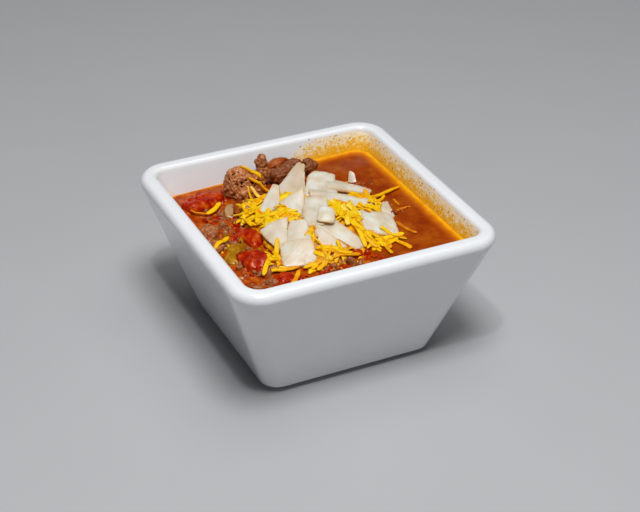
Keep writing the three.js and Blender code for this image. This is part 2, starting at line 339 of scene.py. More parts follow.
def grain(tree, size, detail=3, seed=0):
    """Noise from 0 to 1 with features of a given size in millimetres."""
    place = add(tree, "TexCoord").outputs["Object"]
    inputs = {"Vector": place, "Scale": 1 / (size * MM), "Detail": detail, "W": seed}
    return add(tree, "TexNoise", inputs, noise_dimensions="4D").outputs["Fac"]


def value_of(tree, key):
    """The number that each point of the mesh holds under a name."""
    return add(tree, "Attribute", attribute_name=key).outputs["Fac"]


def calculated(tree, operation, *values):
    return add(tree, "Math", dict(enumerate(values)), operation=operation).outputs[0]


def times(tree, first, second):
    return calculated(tree, "MULTIPLY", first, second)


def plus(tree, first, second):
    return calculated(tree, "ADD", first, second)


def remap(tree, value, low, high, to_low=0.0, to_high=1.0):
    """The value between low and high, eased, as a number between two others."""
    inputs = {"Value": value, "From Min": low, "From Max": high, "To Min": to_low, "To Max": to_high}
    return add(tree, "MapRange", inputs, interpolation_type="SMOOTHSTEP").outputs["Result"]


def ramp(tree, factor, stops):
    """Colours along a number between 0 and 1, each stop a position and the three values of its colour."""
    node = add(tree, "ValToRGB", {"Fac": factor})
    elements = node.color_ramp.elements
    while len(elements) < len(stops):
        elements.new(0.5)
    for element, (position, *color) in zip(elements, stops):
        element.position = position
        element.color = paint(*color)
    return node.outputs["Color"]


def mix(tree, factor, first, second):
    return add(tree, "Mix", {0: factor, 6: first, 7: second}, data_type="RGBA").outputs[2]


def make_glaze():
    """White glaze, with the dried film that the broth left on the inner wall."""
    material, tree = start_material("porcelain", Roughness=0.16, Coat_Weight=0.4, Coat_Roughness=0.05)
    white = mix(tree, grain(tree, 14), paint(236, 238, 240), paint(229, 232, 235))
    below = calculated(tree, "SUBTRACT", 1.0, value_of(tree, "film_rise"))
    coarse = remap(tree, grain(tree, 1.3, seed=1), 0.2, 0.8, -0.5, 0.5)
    fine = remap(tree, grain(tree, 0.45, seed=2), 0.25, 0.75, -0.5, 0.5)
    edge = remap(tree, plus(tree, below, times(tree, coarse, 0.16)), 0.0, 0.12)
    cover = times(tree, edge, value_of(tree, "film_amount"))
    blotch = plus(tree, plus(tree, below, times(tree, coarse, 0.8)), times(tree, fine, 0.5))
    amber = remap(tree, blotch, 0.12, 0.9)
    tint = ramp(tree, amber, [(0, 252, 243, 220), (0.45, 250, 218, 126), (1, 244, 180, 22)])
    speck = remap(tree, grain(tree, 0.75, detail=1, seed=5), 0.71, 0.78)
    film = mix(tree, times(tree, speck, 0.6), tint, paint(120, 80, 30))
    relief = plus(tree, times(tree, cover, plus(tree, coarse, fine)), grain(tree, 30, detail=1))
    return finish_material(material, mix(tree, cover, white, film), relief, 0.12)


def make_broth_material():
    """Orange-brown broth that turns yellow where it thins out over the white wall."""
    material, tree = start_material(
        "broth", Roughness=0.16, Specular_IOR_Level=0.12,
        Subsurface_Weight=0.15, Subsurface_Radius=(1, 0.3, 0.05), Subsurface_Scale=1.2 * MM,
    )
    reach = value_of(tree, "wall")
    drift = remap(tree, grain(tree, 5, seed=3), 0.3, 0.7, -0.06, 0.06)
    edge = ramp(tree, plus(tree, reach, drift), [
        (0, 238, 176, 20), (0.1, 224, 150, 10), (0.3, 194, 106, 5), (0.55, 166, 76, 2), (0.85, 147, 58, 1),
    ])
    cloud = ramp(tree, grain(tree, 6, seed=7), [(0.35, 132, 44, 0), (0.5, 147, 58, 1), (0.66, 163, 78, 8)])
    inner = mix(tree, remap(tree, reach, 0.5, 1.0), edge, cloud)
    lumps = ramp(tree, grain(tree, 2.4, seed=9), [
        (0.3, 126, 36, 2), (0.48, 164, 62, 5), (0.6, 188, 94, 18), (0.7, 200, 122, 44),
    ])
    thick = times(tree, value_of(tree, "chunks"), remap(tree, reach, 0.1, 0.5, 0, 0.85))
    return finish_material(material, mix(tree, thick, inner, lumps), grain(tree, 1.2, seed=11), 0.1, 0.5)


def make_cheese_material():
    material, tree = start_material(
        "cheese", Roughness=0.42, Specular_IOR_Level=0.16,
        Subsurface_Weight=0.3, Subsurface_Radius=(1, 0.7, 0.15), Subsurface_Scale=0.7 * MM,
    )
    drift = remap(tree, grain(tree, 2.2, seed=2), 0.3, 0.7, -0.1, 0.1)
    color = ramp(tree, plus(tree, value_of(tree, "tone"), drift), [
        (0, 190, 96, 8), (0.2, 222, 136, 8), (0.42, 240, 182, 2), (0.7, 246, 202, 8), (1, 244, 214, 110),
    ])
    return finish_material(material, color, grain(tree, 0.5, seed=4), 0.12, 0.7)


def make_core_material():
    """Cheese soaked with broth, seen only between the shreds."""
    material, tree = start_material(
        "soaked_cheese", Roughness=0.35, Specular_IOR_Level=0.25,
        Subsurface_Weight=0.2, Subsurface_Scale=0.6 * MM,
    )
    color = ramp(tree, grain(tree, 2.5, seed=6), [(0.3, 150, 66, 2), (0.46, 206, 124, 4), (0.6, 240, 176, 6)])
    return finish_material(material, color, grain(tree, 0.8, seed=8), 0.25)


def make_onion_material():
    """Slightly see-through onion with faint veins, tinted by the broth at its cut edges."""
    material, tree = start_material(
        "onion", Roughness=0.3, Transmission_Weight=0.08, Coat_Weight=0.15, Coat_Roughness=0.12,
        Subsurface_Weight=0.85, Subsurface_Radius=(1, 0.72, 0.42), Subsurface_Scale=2.6 * MM,
    )
    wander = times(tree, grain(tree, 5, detail=1, seed=1), 4.0)
    wave = plus(tree, times(tree, value_of(tree, "across"), 3.4), wander)
    vein = calculated(tree, "SINE", wave)
    clouds = grain(tree, 6, detail=1, seed=3)
    color = ramp(tree, clouds, [(0.3, 218, 203, 178), (0.5, 232, 222, 204), (0.68, 240, 236, 228)])
    color = mix(tree, remap(tree, vein, 0.3, 1.0, 0, 0.12), color, paint(214, 194, 158))
    stain = remap(tree, grain(tree, 3, seed=9), 0.35, 0.65, 0.1, 0.6)
    color = mix(tree, times(tree, value_of(tree, "edge"), stain), color, paint(224, 176, 104))
    color = mix(tree, value_of(tree, "soaked"), color, paint(184, 140, 82))
    relief = plus(tree, times(tree, vein, 0.12), grain(tree, 1.4, seed=4))
    return finish_material(material, color, relief, 0.1, 0.5)


def make_meat_material():
    material, tree = start_material(
        "beef", Roughness=0.45, Specular_IOR_Level=0.3, Coat_Weight=0.2, Coat_Roughness=0.1,
        Subsurface_Weight=0.15, Subsurface_Scale=0.6 * MM,
    )
    clouds = grain(tree, 1.3, seed=2)
    color = ramp(tree, clouds, [(0.3, 144, 80, 36), (0.5, 182, 110, 58), (0.7, 210, 146, 96)])
    color = mix(tree, value_of(tree, "dark"), color, paint(116, 56, 18))
    # painted shade: darker brown in the crevices, by the crevice mask; the wall specks take their own dark
    # tone from the same mix
    color = mix(tree, remap(tree, value_of(tree, "hollow"), 0.0, 1.0, 0, 0.65), color, paint(88, 36, 8))
    return finish_material(material, color, grain(tree, 0.5, seed=5), 0.25, 0.8)


def make_wet_material(name, dark, middle, light, size, roughness, seed):
    """Cooked vegetable, glossy with broth: three tones in clouds of a given size, and painted shade in its
    crevices.
    """
    material, tree = start_material(
        name, Roughness=roughness, Specular_IOR_Level=0.14, Coat_Weight=0.08, Coat_Roughness=0.06,
        Subsurface_Weight=0.15, Subsurface_Radius=(1, 0.3, 0.1), Subsurface_Scale=0.8 * MM,
    )
    color = ramp(tree, grain(tree, size, seed=seed), [(0.3, *dark), (0.5, *middle), (0.7, *light)])
    # painted shade: crevices darkened towards the darkest tone
    color = mix(tree, remap(tree, value_of(tree, "hollow"), 0.0, 0.9, 0, 0.75), color, paint(*dark))
    return finish_material(material, color, grain(tree, 0.8, seed=seed + 1), 0.15, 0.6)


# ---- The bowl ----

def rounded_square(half, corner, z, along=24, arc=10):
    """A square with rounded corners at height z, anticlockwise from above."""
    ring = []
    for quarter in range(4):
        turn = quarter * math.pi / 2
        cos, sin = math.cos(turn), math.sin(turn)
        straight = half - corner
        side = [(half, -straight + 2 * straight * k / along) for k in range(along)]
        bend = [math.pi / 2 * k / arc for k in range(arc)]
        curve = [(straight + corner * math.cos(a), straight + corner * math.sin(a)) for a in bend]
        ring += [(x * cos - y * sin, x * sin + y * cos, z) for x, y in side + curve]
    return ring


def arc_rings(half, z, radius, start, end, steps, corner_at):
    """Rings along an arc of the bowl's profile, from one angle to another in degrees."""
    rings = []
    for k in range(steps + 1):
        angle = math.radians(start + (end - start) * k / steps)
        ring_half = half + radius * math.cos(angle)
        ring_z = z + radius * math.sin(angle)
        rings.append((ring_half, corner_at(ring_half, ring_z), ring_z))
    return rings


def inner_half(z):
    return INNER_RIM_HALF - INNER_LEAN * (HEIGHT - z)


# Plan radius of the corners on each part of the bowl, for a half-width and a height.

def outer_corner(half, z):
    return BASE_CORNER + (RIM_CORNER - BASE_CORNER) * ((z - FOOT["height"]) / (HEIGHT - FOOT["height"]))


def lip_corner(half, z):
    return RIM_CORNER - (RIM_HALF - half)


def inner_corner(half, z):
    return INNER_FLOOR_CORNER + (INNER_CORNER - INNER_FLOOR_CORNER) * (z - FLOOR_TOP) / (HEIGHT - FLOOR_TOP)


def inner_profile(steps):
    """The inner wall's foot and the floor from the top down, as half-width, corner radius and height."""
    lean = math.degrees(math.atan(INNER_LEAN))
    centre_z = FLOOR_TOP + FLOOR_FILLET
    centre_half = inner_half(centre_z) - FLOOR_FILLET / math.cos(math.radians(lean))
    return arc_rings(centre_half, centre_z, FLOOR_FILLET, -lean, -90, steps, inner_corner)


def between(first, last, steps):
    """Sections evenly spaced between two, without the two themselves."""
    shares = [(k + 1) / (steps + 1) for k in range(steps)]
    return [tuple(a + (b - a) * share for a, b in zip(first, last)) for share in shares]


def foot_profile():
    """The foot from its inner edge to its outer one, as half-width and height."""
    outer, edge = FOOT["half"], FOOT["round"]
    inner, cut = outer - FOOT["width"], edge * 0.3
    return [
        (inner, FOOT["recess"]), (inner, edge), (inner + cut, cut), (inner + edge, 0),
        (outer - edge, 0), (outer - cut, cut), (outer, edge), (outer, FOOT["height"]),
    ]


def bowl_profile():
    """The bowl's sections from the foot's inner edge, over the rim and down to the inside floor."""
    foot_top = FOOT["height"]
    lean = math.degrees(math.atan((RIM_HALF - BASE_HALF) / (HEIGHT - LIP_OUTER - foot_top)))
    lip_end = 180 - math.degrees(math.atan(INNER_LEAN))
    foot = [(half, FOOT["corner"], z) for half, z in foot_profile()]
    base = arc_rings(BASE_HALF - BASE_ROUND, foot_top + BASE_ROUND, BASE_ROUND, -90, -lean, 8, outer_corner)
    outer = arc_rings(RIM_HALF - LIP_OUTER, HEIGHT - LIP_OUTER, LIP_OUTER, -lean, 90, 14, lip_corner)
    inner = arc_rings(LIP_TOP_HALF, HEIGHT - LIP_INNER, LIP_INNER, 90, lip_end, 10, lip_corner)
    room = inner_profile(8)
    outer_wall = between(base[-1], outer[0], 12)
    inner_wall = between(inner[-1], room[0], 26)
    return foot + base + outer_wall + outer + inner + inner_wall + room


def make_bowl(glaze):
    rings = np.array([rounded_square(*section) for section in bowl_profile()])
    ends = [[0, 0, FOOT["recess"]], [0, 0, FLOOR_TOP]]
    points = np.concatenate([rings.reshape(-1, 3), ends])
    faces = trimmed(tube_faces(*rings.shape[:2]))
    rise, amount = film_on(points)
    make_piece("bowl_glazed", points, faces, glaze, "porcelain", ["bowl"], film_rise=rise, film_amount=amount)


def film_on(points):
    """How far up the film each point lies, and how strong the film is there."""
    x, y, z = points.T
    inside = (np.maximum(abs(x), abs(y)) < inner_half(z) + 1.5) & (z > FLOOR_TOP - 1)
    surface = broth_height(x, y)
    right = smoothstep(30, 46, x) * smoothstep(-60, -50, y)
    back = smoothstep(40, 47, y) * smoothstep(0, 26, x)
    front = 0.45 * smoothstep(-40, -47, y)
    left = 0.35 * smoothstep(-40, -47, x)
    amount = np.maximum.reduce([right, back, front, left]) * inside
    top = surface + (FILM_TOP - surface) * np.maximum.reduce([right, back, front * 0.9, left * 0.8])
    rise = (z - surface) / np.maximum(top - surface, 1.0)
    return np.clip(rise, -0.5, 3), amount


# ---- The broth ----

def chunkiness(x, y):
    """Where the broth is thick with small pieces: 1 on the left and in front, 0 in the smooth right."""
    left = smoothstep(-6, -26, x + 0.25 * y)
    front = smoothstep(-22, -34, y) * smoothstep(16, 6, x)
    return np.maximum(left, front)


def to_rounded_square(u, v, half, corner):
    """Takes places in the square from -1 to 1 to a square with rounded corners."""
    straight = half - corner
    x, y = u * half, v * half
    past_x, past_y = np.maximum(abs(x) - straight, 0), np.maximum(abs(y) - straight, 0)
    reach = np.hypot(past_x, past_y)
    shrink = np.where(reach > 0, np.maximum(past_x, past_y) / np.maximum(reach, 1e-9), 1)
    in_corner = past_x * past_y > 0
    x = np.where(in_corner, np.sign(x) * (straight + past_x * shrink), x)
    y = np.where(in_corner, np.sign(y) * (straight + past_y * shrink), y)
    return x, y


def distance_inside(x, y, half, corner):
    """How far each place lies inside a square with rounded corners."""
    past = np.hypot(np.maximum(abs(x) - half + corner, 0), np.maximum(abs(y) - half + corner, 0))
    in_corner = (abs(x) > half - corner) & (abs(y) > half - corner)
    return np.where(in_corner, corner - past, half - np.maximum(abs(x), abs(y)))


def broth_top(x, y, from_wall, chunks):
    """Height of the broth's top, with a slight swell, lumps where it is thick and a rise at the wall."""
    flat = np.stack([x, y, np.zeros_like(x)], axis=1)
    swell = 0.10 * noise(flat, 7, 1) + 0.05 * noise(flat, 3, 2)
    lumps = 0.55 * np.maximum(noise(flat, 3.2, 3), -0.2) + 0.22 * noise(flat, 1.5, 4)
    inland = smoothstep(0.5, 4, from_wall)
    rise = MENISCUS_RISE * np.exp(-np.maximum(from_wall, 0) / MENISCUS_WIDTH)
    return broth_height(x, y) + inland * (swell + chunks * lumps) + rise


def make_broth(material):
    """A closed body that reaches into the wall, with a finely netted top."""
    half = inner_half(LEVEL) + INTO_WALL
    corner = inner_corner(half, LEVEL)
    edge = np.linspace(-1, 1, BROTH_CELLS + 1)
    u, v = (axis.ravel() for axis in np.meshgrid(edge, edge, indexing="ij"))
    x, y = to_rounded_square(u, v, half, corner)
    from_wall = distance_inside(x, y, half, corner) - INTO_WALL
    chunks = chunkiness(x, y)
    points = [np.stack([x, y, broth_top(x, y, from_wall, chunks)], axis=1)]
    index = np.arange(len(x)).reshape(len(edge), len(edge))
    corners = [index[:-1, :-1], index[1:, :-1], index[1:, 1:], index[:-1, 1:]]
    faces = np.stack(corners, axis=-1).reshape(-1, 4).tolist()
    rim = np.concatenate([index[:-1, 0], index[-1, :-1], index[:0:-1, -1], index[0, :0:-1]])
    previous, total = rim, len(x)
    below = between((half, corner, LEVEL - 1), inner_profile(4)[0], 3) + inner_profile(4)
    for section_half, section_corner, section_z in below:
        ring_x, ring_y = to_rounded_square(u[rim], v[rim], section_half + INTO_WALL, section_corner)
        points.append(np.stack([ring_x, ring_y, np.full(len(rim), section_z - INTO_WALL)], axis=1))
        ring = np.arange(total, total + len(rim))
        faces += list(zip(previous, ring, np.roll(ring, -1), np.roll(previous, -1)))
        previous, total = ring, total + len(rim)
    points.append(np.array([[0, 0, FLOOR_TOP - INTO_WALL]]))
    faces += list(zip(previous, np.full(len(rim), total), np.roll(previous, -1)))
    points = np.concatenate(points)
    hidden = np.zeros(len(points) - len(x))
    shore = SHORE_LEFT + (SHORE_RIGHT - SHORE_LEFT) * smoothstep(-15, 30, x)
    wall = np.concatenate([np.clip(from_wall / shore, 0, 1), hidden])
    chunks = np.concatenate([chunks, hidden])
    make_piece("broth", points, faces, material, "chili", ["chili"], wall=wall, chunks=chunks)


# ---- Pieces that follow their CAD node ----

def refine(node, name, material, slot, voxel, relax, layers, seed, sink=0):
    """A fine skin over a CAD node, which may lie a little deeper in the broth."""
    points, faces = remesh(*node_mesh(node), voxel, relax)
    points = roughened(points, faces, *layers, seed=seed)
    points[:, 2] -= sink
    # the crevice mask drives painted shade in the material
    make_piece(name, points, faces, material, slot, [node], hollow=hollows(points, faces))


MEAT_DARKNESS = {"beef_clump": 0, "beef_strip": 0.75}
OTHER_DARKNESS = 0.3
CORE_INSET = 0.4  # how far the smooth middle of the mince lies below the surface of its CAD node
# Lumps, then grains: square millimetres for each, smallest and largest radius, and the share sunk in.
MINCE_LAYERS = ((7, 1.0, 1.9, 0.8), (1.0, 0.35, 0.8, 0.35))


def make_meat(node, material, seed):
    """Crumbly cooked mince: lumps and fine grains all over a CAD node, grown together."""
    draw = np.random.default_rng(seed)
    points, triangles = node_mesh(node)
    area = np.linalg.norm(facet_vectors(points, triangles), axis=1).sum() / 2
    ball_points, ball_faces = ball(2)
    parts = [(points - normals_of(points, triangles) * CORE_INSET, triangles)]
    for spacing, small, large, sunk in MINCE_LAYERS:
        places, outward = sample_surface(points, triangles, int(area / spacing), draw)
        for place, normal in zip(places, outward):
            radius = draw.uniform(small, large)
            shape = ball_points * radius * draw.uniform(0.7, 1.3, 3) @ random_turn(draw).T
            parts.append((shape + place - normal * (radius * sunk + 0.25), ball_faces))
    points, faces = remesh(*join(parts), 0.25, 1)
    points = under_top(roughened(points, faces, (0.9, 0.22), (0.45, 0.13), seed=seed))
    dark = np.full(len(points), MEAT_DARKNESS.get(node, OTHER_DARKNESS))
    name = "mince_" + node
    # the crevice mask drives painted shade in the beef material
    make_piece(name, points, faces, material, "beef", [node], hollow=hollows(points, faces), dark=dark)


# Cut onion: how many cut sides a piece has, how round its corners are, how far it bows over, how
# far it curls sideways along its length, its thickness, and how much broth it has taken up.
# Its outline and its plane are those of its CAD node.
ONION_CUTS = {
    "onion_round": (6, 3.2, 0.7, 0, 0.9, 0),
    "onion_mid": (5, 1.4, 1.0, 0.6, 1.6, 0.12),
    "onion_tri_left": (4, 0.7, 0.4, 0, 1.3, 0.1),
    "onion_long": (4, 1.2, 1.6, 1.4, 1.6, 0.12),
    "onion_top_right": (4, 1.4, 1.2, 0.8, 1.4, 0.14),
    "onion_top_left": (5, 1.8, 1.6, 0, 1.6, 0.08),
    "onion_peak": (5, 1.0, 0.5, 0, 1.2, 0.3),
    "onion_wedge": (4, 0.6, 0.5, 0.4, 1.4, 0.14),
    "onion_front": (5, 1.2, 1.0, 1.2, 1.7, 0.14),
    "onion_fold": (5, 2.0, 1.0, 0.5, 1.5, 0.2),
    "onion_low_front": (6, 2.4, 1.3, 0, 1.6, 0.2),
    "onion_wedge_front": (4, 0.7, 0.4, 0, 1.5, 0.24),
    "onion_front_left": (4, 1.2, 0.7, 0.5, 1.5, 0.12),
    "onion_square": (5, 0.8, 0.6, 0, 1.6, 0.04),
    "onion_behind_square": (4, 0.6, 0.3, 0, 1.3, 0.3),
    "onion_upright": (4, 0.8, 0.3, 0.3, 1.3, 0.35),
    "onion_sunk": (4, 1.6, 0.8, 1.0, 1.2, 0.9),
}
ONION_OVERLAP = 1.3  # how far a piece in the heap reaches past its CAD node, over the clearance round it
FREE_ONIONS = ("onion_round", "onion_sunk", "onion_upright")
FREE_OVERLAP = 0.2  # and how far these reach
ONION_STEP = 0.42  # distance of the points along an outline
CUT_EDGE = 0.22  # how far the broad sides are set in at the cut edge


def plane_of(node):
    """Middle and upward normal of a flat CAD node."""
    points, triangles = node_mesh(node)
    area = np.linalg.norm(facet_vectors(points, triangles), axis=1)
    middles = points[triangles].mean(axis=1)
    middle = (middles * area[:, None]).sum(0) / area.sum()
    spread = (middles - middle) * np.sqrt(area)[:, None]
    normal = np.linalg.eigh(spread.T @ spread)[1][:, 0]
    return middle, normal * np.sign(normal[2])


def cross(a, b):
    return a[0] * b[1] - a[1] * b[0]


def hull_of(flat):
    """The convex outline of points in a plane, anticlockwise."""
    ordered = flat[np.lexsort((flat[:, 1], flat[:, 0]))]

    def chain(places):
        kept = []
        for place in places:
            while len(kept) > 1 and cross(kept[-1] - kept[-2], place - kept[-1]) <= 0:
                kept.pop()
            kept.append(place)
        return kept[:-1]

    return np.array(chain(ordered) + chain(ordered[::-1]))


def straight_cut(outline, sides):
    """A convex outline with few sides: the side that costs least is dropped and its neighbours meet."""
    outline = list(outline)
    while len(outline) > sides:
        count = len(outline)
        choices = []
        for k in range(count):
            before, start = outline[k - 1], outline[k]
            end, after = outline[(k + 1) % count], outline[(k + 2) % count]
            along, back = start - before, end - after
            spread = cross(along, back)
            if abs(spread) < 1e-9:
                continue
            reach, other = cross(end - start, back) / spread, cross(end - start, along) / spread
            if reach > 0 and other > 0:
                meet = start + along * reach
                choices.append((abs(cross(end - start, meet - start)), k, meet))
        if not choices:
            break
        _, k, meet = min(choices, key=lambda choice: choice[0])
        outline[k] = meet
        del outline[(k + 1) % count]
    return np.array(outline)


def outline_points(corners, rounding, step):
    """The outline of a polygon with its corners cut round, as points a step apart."""
    count = len(corners)
    path = []
    for k in range(count):
        before, corner, after = corners[k - 1], corners[k], corners[(k + 1) % count]
        pull = [end - corner for end in (before, after)]
        pull = [p / np.linalg.norm(p) * min(rounding, np.linalg.norm(p) * 0.4) for p in pull]
        for share in np.linspace(0, 1, 5):
            path.append(corner + pull[0] * (1 - share) ** 2 + pull[1] * share ** 2)
    path = np.array(path + [path[0]])
    lengths = np.concatenate([[0], np.cumsum(np.linalg.norm(np.diff(path, axis=0), axis=1))])
    places = np.linspace(0, lengths[-1], int(lengths[-1] / step), endpoint=False)
    return np.stack([np.interp(places, lengths, path[:, axis]) for axis in range(2)], axis=1)


def onion_plane(node):
    """Middle, normal, long way and wide way of a flat CAD node, and its points in that plane."""
    middle, normal = plane_of(node)
    spread = node_mesh(node)[0] - middle
    spread -= np.outer(spread @ normal, normal)
    long_way = np.linalg.svd(spread, full_matrices=False)[2][0]
    wide_way = np.cross(normal, long_way)
    return middle, normal, long_way, wide_way, np.column_stack([spread @ long_way, spread @ wide_way])


def onion_outline(node, flat, sides, rounding, curl):
    """The cut outline round the points of a flat node, as points in its plane."""
    corners = straight_cut(hull_of(flat), sides)
    overlap = FREE_OVERLAP if node in FREE_ONIONS else ONION_OVERLAP
    corners *= 1 + overlap / abs(corners).max(axis=0)
    outline = outline_points(corners, rounding, ONION_STEP)
    outline[:, 1] += curl * (outline[:, 0] / abs(outline[:, 0]).max()) ** 2
    return outline


def make_onion(node, material, seed):
    """A cut piece of an onion layer: a bowed plate with cut sides, drawn from its outline inwards."""
    sides, rounding, bow, curl, thick, soaked = ONION_CUTS[node]
    middle, normal, long_way, wide_way, flat = onion_plane(node)
    outline = onion_outline(node, flat, sides, rounding, curl)
    wide = max(abs(outline[:, 1]).max(), 1e-6)
    waver = noise(np.column_stack([outline, np.zeros(len(outline))]), 1.4, seed)
    outline = outline * (1 + 0.035 * waver)[:, None]
    long = abs(outline[:, 0]).max()
    half = thick / 2
    shares = list(np.linspace(1 - CUT_EDGE / wide, 0.05, 13))
    rings = [(share, -half) for share in shares[::-1]]
    rings += [(1, -half + CUT_EDGE), (1, 0), (1, half - CUT_EDGE)]
    rings += [(share, half) for share in shares]
    points, edges = [], []
    for share, side in rings + [(0, -half), (0, half)]:
        place = outline * share if share else np.zeros((1, 2))
        sideways = (place[:, 1] / wide) ** 2
        crown = -bow * sideways - 0.3 * bow * (place[:, 0] / long) ** 2
        thinner = side * (1 - 0.25 * sideways)
        level = middle + place[:, :1] * long_way + place[:, 1:] * wide_way
        points.append(level + (crown + thinner)[:, None] * normal)
        edges.append(np.full(len(place), smoothstep(0.72, 1, share)))
    faces = tube_faces(len(rings), len(outline))
    points = under_top(roughened(np.concatenate(points), faces, (4.5, 0.3), (1.5, 0.07), seed=seed))
    make_piece(
        "cut_" + node, points, trimmed(faces), material, "onion", [node],
        across=(points - middle) @ wide_way, edge=np.concatenate(edges), soaked=np.full(len(points), soaked),
    )


# ---- Grated cheese ----

def blunted(value):
    """Pushes a sine or cosine outwards, so that a circle becomes a square with soft corners."""
    return math.copysign(abs(value) ** 0.45, value)


def shred(path, width, thick, draw):
    """A strip of grated cheese along a path, wavy and blunt at its ends."""
    around = 8
    forward = np.gradient(path, axis=0)
    forward /= np.linalg.norm(forward, axis=1, keepdims=True)
    sideways = np.cross(forward, [0, 0, 1])
    sideways /= np.maximum(np.linalg.norm(sideways, axis=1, keepdims=True), 1e-6)
    upward = np.cross(sideways, forward)
    twist = draw.uniform(-0.5, 0.5) + np.linspace(0, draw.uniform(-0.7, 0.7), len(path))
    points = []
    for k, centre in enumerate(path):
        along = 2 * k / (len(path) - 1) - 1
        girth = (1 - abs(along) ** 8) ** 0.5 if 0 < k < len(path) - 1 else 0.45
        girth *= 1 + 0.1 * draw.uniform(-1, 1)
        cos, sin = math.cos(twist[k]), math.sin(twist[k])
        for corner in range(around):
            angle = 2 * math.pi * (corner + 0.5) / around
            a = blunted(math.cos(angle)) * width / 2 * girth
            b = blunted(math.sin(angle)) * thick / 2 * girth
            points.append(centre + sideways[k] * (a * cos - b * sin) + upward[k] * (a * sin + b * cos))
    return np.concatenate([points, path[[0, -1]]]), tube_faces(len(path), around)


# Single shreds that show. Each lies by a CAD node: the place of its middle, in halves of that
# node's box from the box's middle, then its heading from +X, length, sideways bow, width and tone.
# The tone runs from 0, soaked orange, to 1, pale.
LAID_SHREDS = {
    "beef_clump": [
        (0.3, -0.1, -30, 9, 0.8, 2.4, 0.42), (0.7, -0.5, -10, 12, -0.8, 2.4, 0.38),
        (0.3, -1.3, -60, 10, 1.4, 1.8, 0.9),
    ],
    "onion_wedge": [
        (-0.6, 0.9, 55, 11, 0.5, 2.0, 0.55), (-0.2, 1.2, 40, 9, -0.6, 1.9, 0.5),
    ],
    "onion_tri_left": [
        (-1.6, 0.0, -30, 12, 0.4, 2.2, 0.75), (-2.0, -0.6, -30, 14, 0.5, 1.4, 0.25),
        (-0.8, -0.8, -100, 7, 0.2, 1.2, 0.85),
    ],
    "tomato_back": [
        (0.2, -1.5, 35, 11, -0.9, 2.1, 0.5), (-0.5, -1.5, -45, 8, -0.6, 1.2, 0.2),
    ],
    "beef_small": [(0.8, 0.2, 40, 12, -0.6, 2.0, 0.5)],
    "onion_front_left": [(-1.2, -1.2, -125, 12, 0.7, 2.2, 0.5)],
    "onion_low_front": [
        (-1.8, 0.0, -135, 17, -0.8, 2.2, 0.5), (-1.7, -0.8, -20, 8, 0.5, 2.3, 0.5),
        (-1.1, -0.7, -35, 6, 0.0, 1.9, 0.85), (0.5, -1.2, -20, 6, 0.0, 1.8, 0.85),
        (-1.0, -1.9, -130, 11, 0.5, 2.0, 0.3),
    ],
    "onion_wedge_front": [(0.0, -1.7, 45, 6, 0.0, 1.8, 0.4)],
    "onion_mid": [
        (1.5, 0.0, -105, 12, 0.5, 1.9, 0.6), (1.9, -0.3, -105, 11, -0.4, 1.9, 0.55),
        (2.3, -0.5, -115, 11, 0.5, 1.8, 0.6),
    ],
    "onion_square": [
        (-1.4, -0.7, -90, 15, 0.8, 2.1, 0.55), (-0.4, -1.4, -100, 7, 0.0, 2.0, 0.6),
        (-0.8, -1.5, -20, 7, 0.3, 2.0, 0.55), (0.4, -1.2, -45, 12, 0.4, 1.7, 0.6),
        (0.0, -1.6, 15, 9, -0.7, 1.9, 0.55), (0.5, -2.2, -70, 9, 0.4, 2.0, 0.35),
        (-0.4, -2.3, -90, 7, 0.0, 1.8, 0.3),
    ],
    "onion_long": [
        (1.9, 0.5, 15, 18, 0.6, 2.5, 0.4), (1.1, 0.0, -100, 11, 0.6, 2.2, 0.4),
        (1.4, -0.3, -85, 9, -1.2, 1.9, 0.4), (1.6, 0.1, 35, 9, -0.5, 1.5, 0.35),
    ],
    "onion_behind_square": [
        (3.0, 0.0, 10, 8, 0.6, 1.3, 0.1), (1.0, -3.0, -75, 13, -0.8, 1.4, 0.1),
        (3.0, 1.5, -90, 6, 0.2, 1.0, 0.15),
    ],
}

# Beds of loose shreds: the CAD node they lie by, from its middle in plan, the reach along X and Y,
# the main heading, how many lie there and their mean tone.
SHRED_BEDS = [
    ("onion_tri_left", (-9, -1), (8, 7), -30, 40, 0.58),
    ("onion_wedge", (0, 9), (5, 6), 50, 14, 0.52),
    ("onion_low_front", (-8, 0), (6, 6), -130, 18, 0.46),
    ("onion_wedge_front", (-4, -8), (10, 3), -20, 26, 0.38),
    ("onion_mid", (13, -4), (6, 9), -105, 46, 0.6),
    ("onion_long", (12, -1), (5, 5), 0, 16, 0.48),
    ("onion_square", (-4, -9), (8, 4), -30, 20, 0.46),
    ("onion_front", (-8, 5), (7, 7), 60, 18, 0.55),
    ("onion_wedge", (-9, 2), (4, 8), -35, 22, 0.46),
    ("onion_wedge", (8, 2), (4, 5), 60, 10, 0.5),
    ("onion_square", (4, 9), (6, 4), -60, 12, 0.5),
    ("onion_top_right", (-6, 7), (9, 4), 20, 18, 0.5),
]
MOST_COVERED = 5  # points of a loose shred, out of its 12, that may lie below onion


def arc_path(middle, heading, length, bow, steps=12):
    """A level path about a place in plan, along a heading, that swings out sideways in its middle."""
    step = np.array([math.cos(heading), math.sin(heading)]) * length / 2
    start, end = np.append(middle - step, 0), np.append(middle + step, 0)
    share = np.linspace(0, 1, steps)[:, None]
    forward = end - start
    sideways = np.array([-forward[1], forward[0], 0])
    sideways /= max(np.linalg.norm(sideways), 1e-6)
    swing = 4 * share * (1 - share)
    return start + share * forward + sideways * bow * swing


def place_in_oval(middle, reach, draw):
    """A random place inside an oval."""
    radius, angle = math.sqrt(draw.random()), draw.uniform(0, 2 * math.pi)
    return middle + np.array(reach) * radius * [math.cos(angle), math.sin(angle)]


def height_under(tree, x, y):
    """Height of the first surface met from above at a place in plan, or None."""
    hit = tree.ray_cast(Vector((x, y, ABOVE_ALL)), Vector((0, 0, -1)))
    return None if hit[0] is None else hit[0].z


def ground_under(tree, x, y):
    """Height of the food or the broth at a place in plan, or None past the broth's edge."""
    height = height_under(tree, x, y)
    return None if height is None else max(height, broth_height(x, y))


